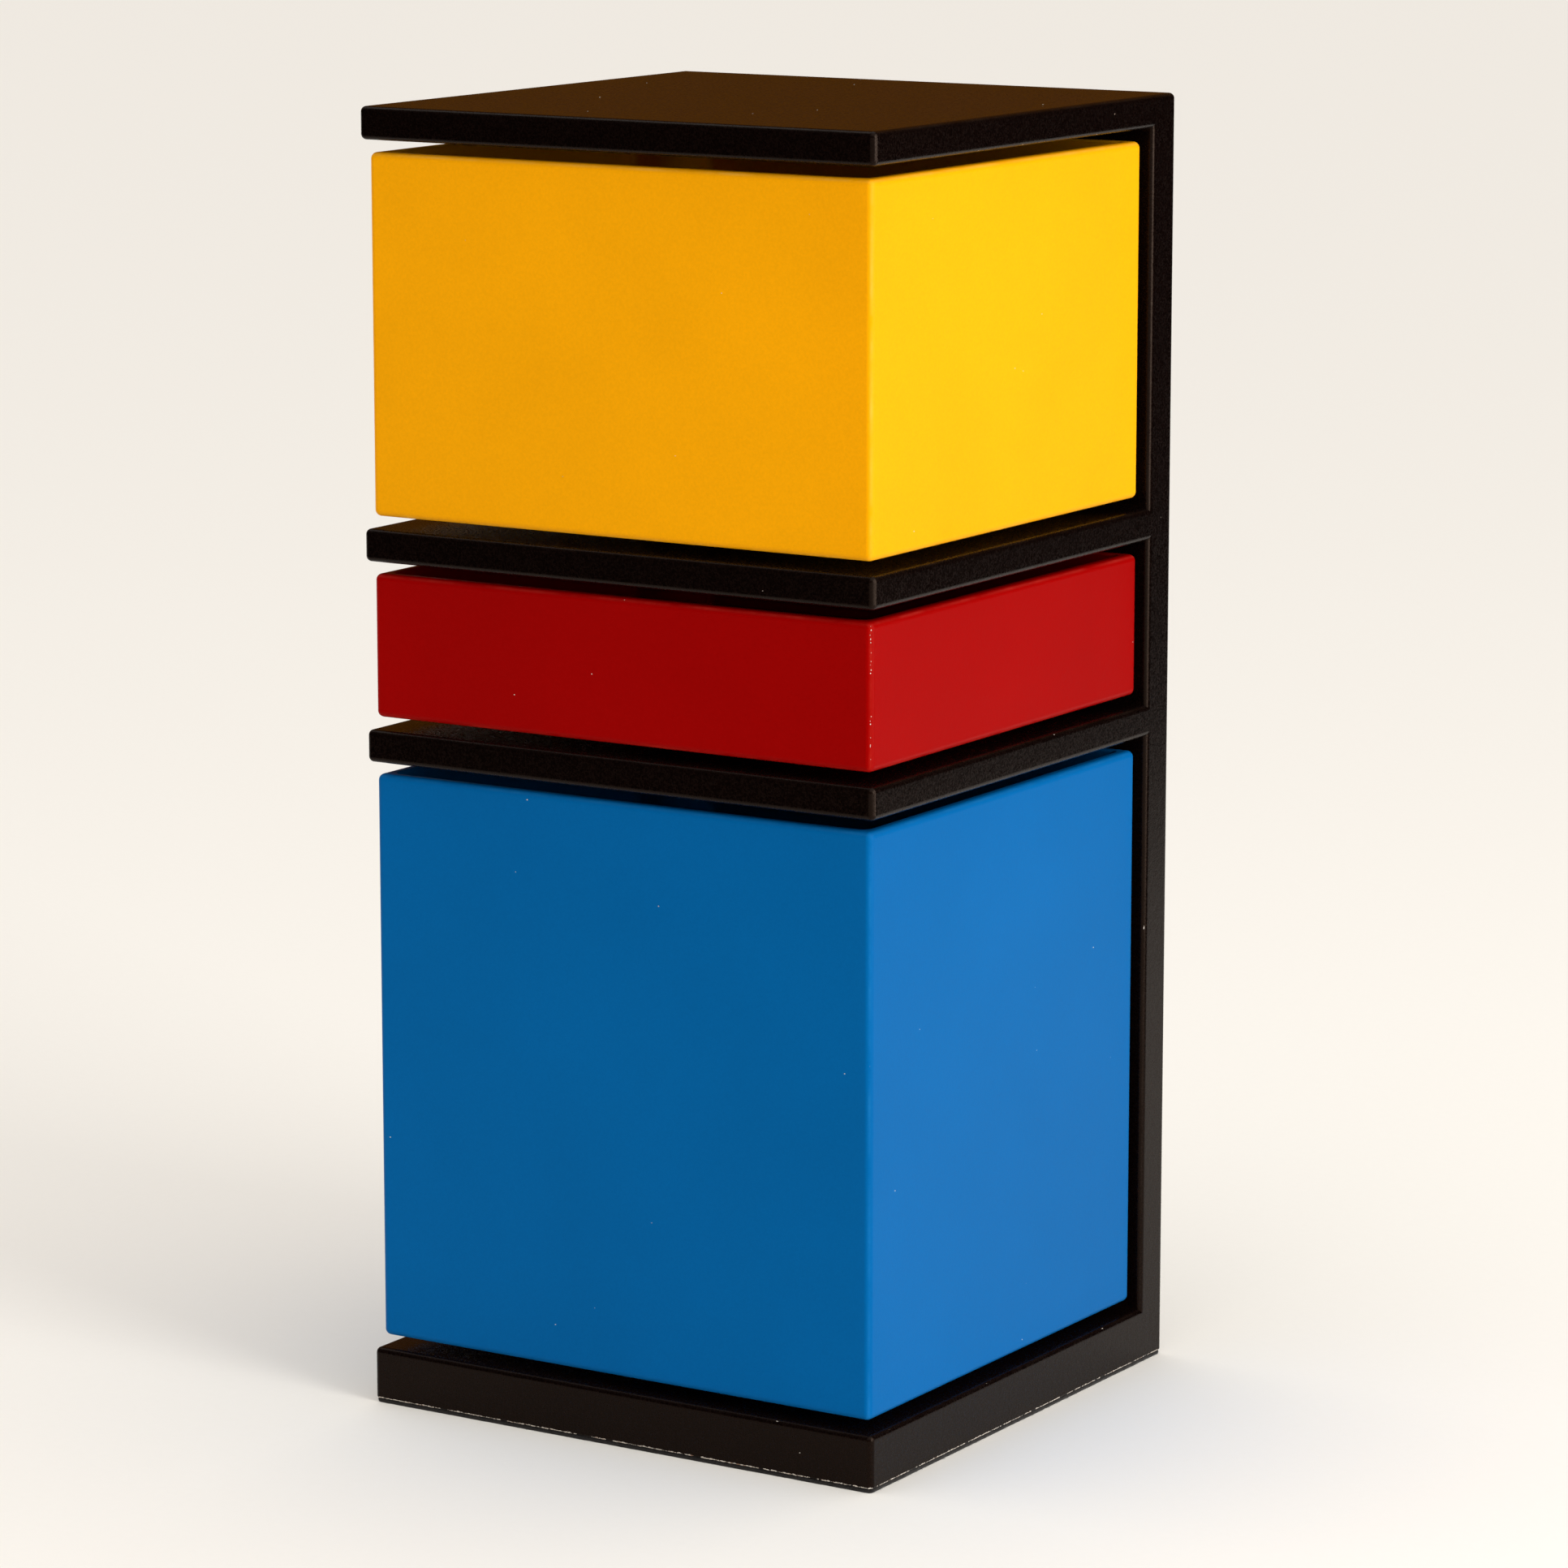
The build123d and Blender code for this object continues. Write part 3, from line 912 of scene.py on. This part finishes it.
class TOWER_OT_stop_pads(Step, bpy.types.Operator):
    """Stick the domed stop pads on the back panel, one behind each box"""

    bl_idname = "tower.stop_pads"
    bl_label = "Stick Stop Pads"

    def execute(self, context):
        low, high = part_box("closing_bumpers")
        middles = []
        for colour in COLOURS:
            box_low, box_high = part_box(f"{colour}_box")
            middles.append(((low.x + high.x) / 2, high.y, (box_low.z + box_high.z) / 2))
        piece = points_piece("stop_pads", middles)
        grow(
            piece, stop_pad_tree(),
            {
                "Radius": (high.x - low.x) / 2, "Height": high.y - low.y,
                "Fullness": context.scene.tower_hardware.pad_fullness, "Material": soft_rubber()
            }
        )
        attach(piece, "stand")
        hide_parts("closing_bumpers")
        return {"FINISHED"}


class TOWER_OT_coves(Step, bpy.types.Operator):
    """Pool lacquer in the corners between the boards and the back panel"""

    bl_idname = "tower.coves"
    bl_label = "Pool Lacquer"

    def execute(self, context):
        tree = cove_tree()
        finish = bpy.data.materials["satin_black_lacquer"]
        low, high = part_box("back_panel")
        ends = (low.x + COVE_INSET, high.x - COVE_INSET)
        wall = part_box("closing_bumpers")[1].y
        floors = [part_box(f"{colour}_lower_washer")[0].z for colour in COLOURS]
        ceilings = [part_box(node)[0].z for node in ("lower_shelf", "upper_shelf", "top_plate")]
        for name, levels, drop in (("floor_coves", floors, -1.0), ("ceiling_coves", ceilings, 1.0)):
            paths = [[(ends[0], wall, z), (ends[1], wall, z)] for z in levels]
            piece = path_piece(name, paths)
            values = {"Size": context.scene.tower_hardware.cove, "Drop": drop, "Material": finish}
            grow(piece, tree, values)
            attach(piece, "stand")
        return {"FINISHED"}


class TOWER_OT_felt(Step, bpy.types.Operator):
    """Lay the felt sheet under the base, with loose fibres at its cut edge"""

    bl_idname = "tower.felt"
    bl_label = "Lay Felt"

    def execute(self, context):
        settings = context.scene.tower_felt
        low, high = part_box("base_pad")
        felt = pressed_felt()
        sheet = new_piece("felt_sheet", felt_sheet(low, high, settings.edge_wander))
        sheet.data.materials.append(felt)
        sheet.data.shade_smooth()
        sheet.data.set_sharp_from_angle(angle=SHEET_ANGLE)
        fuzz = new_piece("felt_fuzz", felt_sheet(low, high, settings.edge_wander))
        grow(
            fuzz, fuzz_tree(),
            {
                "Density": settings.fibres / MM ** 2, "Length": settings.fibre,
                "Width": settings.fibre_width, "Seed": FELT_SEED, "Material": felt
            }
        )
        for piece in (sheet, fuzz):
            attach(piece, "stand")
        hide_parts("base_pad")
        return {"FINISHED"}


class TOWER_OT_wear(Step, bpy.types.Operator):
    """Chip the arrises that get knocked, and catch dust in the lacquer"""

    bl_idname = "tower.wear"
    bl_label = "Wear and Dust"

    def execute(self, context):
        settings = context.scene.tower_wear
        primer = chalky_undercoat()

        # The foot is chipped nearly all round, where the tower is slid and set down.
        low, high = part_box("base_plate")
        height = low.z + FOOT_HEIGHT
        foot = [(*point, height) for point in rounded_rectangle(low, high, FOOT_CORNER, FOOT_STEP)]
        # The red box's front right corner has small chips from top to bottom.
        low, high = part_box("red_box")
        corner = (high.x - CORNER_INSET, low.y + CORNER_INSET)
        upright = [(*corner, low.z + CORNER_ENDS[0]), (*corner, high.z - CORNER_ENDS[1])]

        # Name, body, node, path, spacing, scatter, width, stretch and bare share.
        runs = (
            (
                "foot_chips", "stand", "base_plate", [*foot, foot[0]], 0.22 * MM, 0.05 * MM,
                settings.foot_chip, 2.2, 0.56
            ),
            (
                "red_corner_chips", "red_tray", "red_box", upright, 0.5 * MM, 0.12 * MM,
                settings.corner_chip, 1.3, 0.52
            )
        )
        tree = chip_tree()
        labels = ("Spacing", "Scatter", "Width", "Stretch", "Bare share")
        for offset, (name, body, node, path, *values) in enumerate(runs):
            piece = path_piece(name, [path])
            fixed = {"Surface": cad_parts[node], "Seed": settings.seed + offset}
            grow(piece, tree, {**dict(zip(labels, values)), **fixed, "Material": primer})
            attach(piece, body)

        tree = speck_tree()
        bodies = {"stand": BOARDS, **{f"{colour}_tray": (f"{colour}_box",) for colour in COLOURS}}
        for offset, (body, nodes) in enumerate(bodies.items()):
            work = bmesh.new()
            for node in nodes:
                work.from_mesh(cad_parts[node].data)
            corners = [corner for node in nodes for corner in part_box(node)]
            piece = new_piece(f"{body}_specks", work)
            grow(
                piece, tree,
                {
                    "Low corner": Vector([min(c[i] for c in corners) for i in range(3)]),
                    "High corner": Vector([max(c[i] for c in corners) for i in range(3)]),
                    "Density": settings.specks / 0.1 ** 2, "Width": settings.speck,
                    "Seed": settings.seed + 10 + offset, "Material": primer
                }
            )
            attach(piece, body)
        return {"FINISHED"}


class TOWER_OT_stage(Step, bpy.types.Operator):
    """Lay the floor, light it softly from the right and from above, and set up the camera"""

    bl_idname = "tower.stage"
    bl_label = "Set Stage"

    def execute(self, context):
        scene = context.scene
        settings = scene.tower_stage
        work = bmesh.new()
        bmesh.ops.create_grid(work, x_segments=24, y_segments=24, size=settings.floor_size / 2)
        floor = new_piece("floor", work)
        floor.data.materials.append(paper_floor())

        lamp = bpy.data.lights.new("key_softbox", "AREA")
        lamp.shape = "RECTANGLE"
        lamp.size, lamp.size_y = KEY_SIZE
        lamp.energy = settings.key_power
        turn, rise = math.radians(KEY_TURN), math.radians(KEY_RISE)
        level = math.cos(rise)
        out = Vector((math.sin(turn) * level, -math.cos(turn) * level, math.sin(rise)))
        softbox = bpy.data.objects.new("key_softbox", lamp)
        scene.collection.objects.link(softbox)
        softbox.location = Vector(LIT_POINT) + out * KEY_DISTANCE
        softbox.rotation_euler = (-out).to_track_quat("-Z", "Y").to_euler()
        softbox.visible_camera = False

        # Cards that only reflections see. The dark flags beyond the right side and before the front
        # keep the upright faces deep, the strip lights the front right arrises, and the wall
        # behind gives the top its brown.
        black = studio_card("black_flag_card", linear(BLACK), 1.0)
        white = studio_card("white_strip_card", settings.strip, settings.strip_power)
        brown = studio_card("brown_wall_card", settings.wall, 1.0)
        cards = {
            "right_flag": (*RIGHT_FLAG, black), "front_flag": (*FRONT_FLAG, black),
            "strip_card": (*STRIP_CARD, white), "wall_card": (*WALL_CARD, brown)
        }
        for name, (low, high, card) in cards.items():
            work = bmesh.new()
            feet = [(low[0], low[1]), (high[0], high[1])]
            foot = [work.verts.new((x, y, low[2])) for x, y in feet]
            head = [work.verts.new((x, y, high[2])) for x, y in reversed(feet)]
            work.faces.new(foot + head)
            flag = new_piece(name, work)
            flag.data.materials.append(card)
            for ray in ("camera", "diffuse", "volume_scatter", "shadow", "transmission"):
                setattr(flag, f"visible_{ray}", False)

        world = bpy.data.worlds.new("overhead_dome")
        scene.world = world
        world.use_nodes = True
        tree = world.node_tree
        tree.nodes.clear()
        place = add(tree, "ShaderNodeTexCoord").outputs
        parts = add(tree, SPLIT, (place["Generated"],)).outputs
        rise = add(tree, RANGE, (parts[2], *HORIZON_RISE), interpolation_type="SMOOTHSTEP")
        sky = add(
            tree, "ShaderNodeMix", {0: rise, 6: settings.horizon, 7: settings.zenith},
            data_type="RGBA"
        )
        dome = add(
            tree, "ShaderNodeBackground", {"Color": sky.outputs[2], "Strength": settings.dome_power}
        )
        add(tree, "ShaderNodeOutputWorld", {"Surface": dome})

        lens = bpy.data.cameras.new("camera")
        lens.lens = settings.lens
        lens.sensor_width = SENSOR
        camera = bpy.data.objects.new("camera", lens)
        scene.collection.objects.link(camera)
        camera.location = settings.camera_place
        camera.rotation_euler = settings.camera_turn
        scene.camera = camera
        scene.view_settings.view_transform = "Standard"
        return {"FINISHED"}


class TOWER_PT_panel(bpy.types.Panel):
    """Lists the tower's settings and operators."""

    bl_idname = "TOWER_PT_panel"
    bl_label = "Desk Tower"
    bl_space_type = "VIEW_3D"
    bl_region_type = "UI"
    bl_category = "Desk Tower"

    def draw(self, context):
        for group in SETTINGS:
            box = self.layout.box()
            settings = getattr(context.scene, group)
            for name in settings.__annotations__:
                box.prop(settings, name)
        for operator in OPERATORS:
            self.layout.operator(operator.bl_idname)


SETTINGS = {
    "tower_lacquer": LacquerSettings, "tower_hardware": HardwareSettings,
    "tower_felt": FeltSettings, "tower_wear": WearSettings, "tower_stage": StageSettings
}
OPERATORS = (
    TOWER_OT_boards, TOWER_OT_boxes, TOWER_OT_pivot, TOWER_OT_washers, TOWER_OT_stop_pads,
    TOWER_OT_coves, TOWER_OT_felt, TOWER_OT_wear, TOWER_OT_stage
)
CLASSES = (*SETTINGS.values(), *OPERATORS, TOWER_PT_panel)


def register():
    for cls in CLASSES:
        bpy.utils.register_class(cls)
    for name, group in SETTINGS.items():
        setattr(bpy.types.Scene, name, PointerProperty(type=group))


def unregister():
    for name in SETTINGS:
        delattr(bpy.types.Scene, name)
    for cls in reversed(CLASSES):
        bpy.utils.unregister_class(cls)


def main():
    """Builds everything in order."""
    register()
    for operator in OPERATORS:
        getattr(bpy.ops.tower, operator.bl_idname.split(".")[1])()


if __name__ == "__main__":
    main()
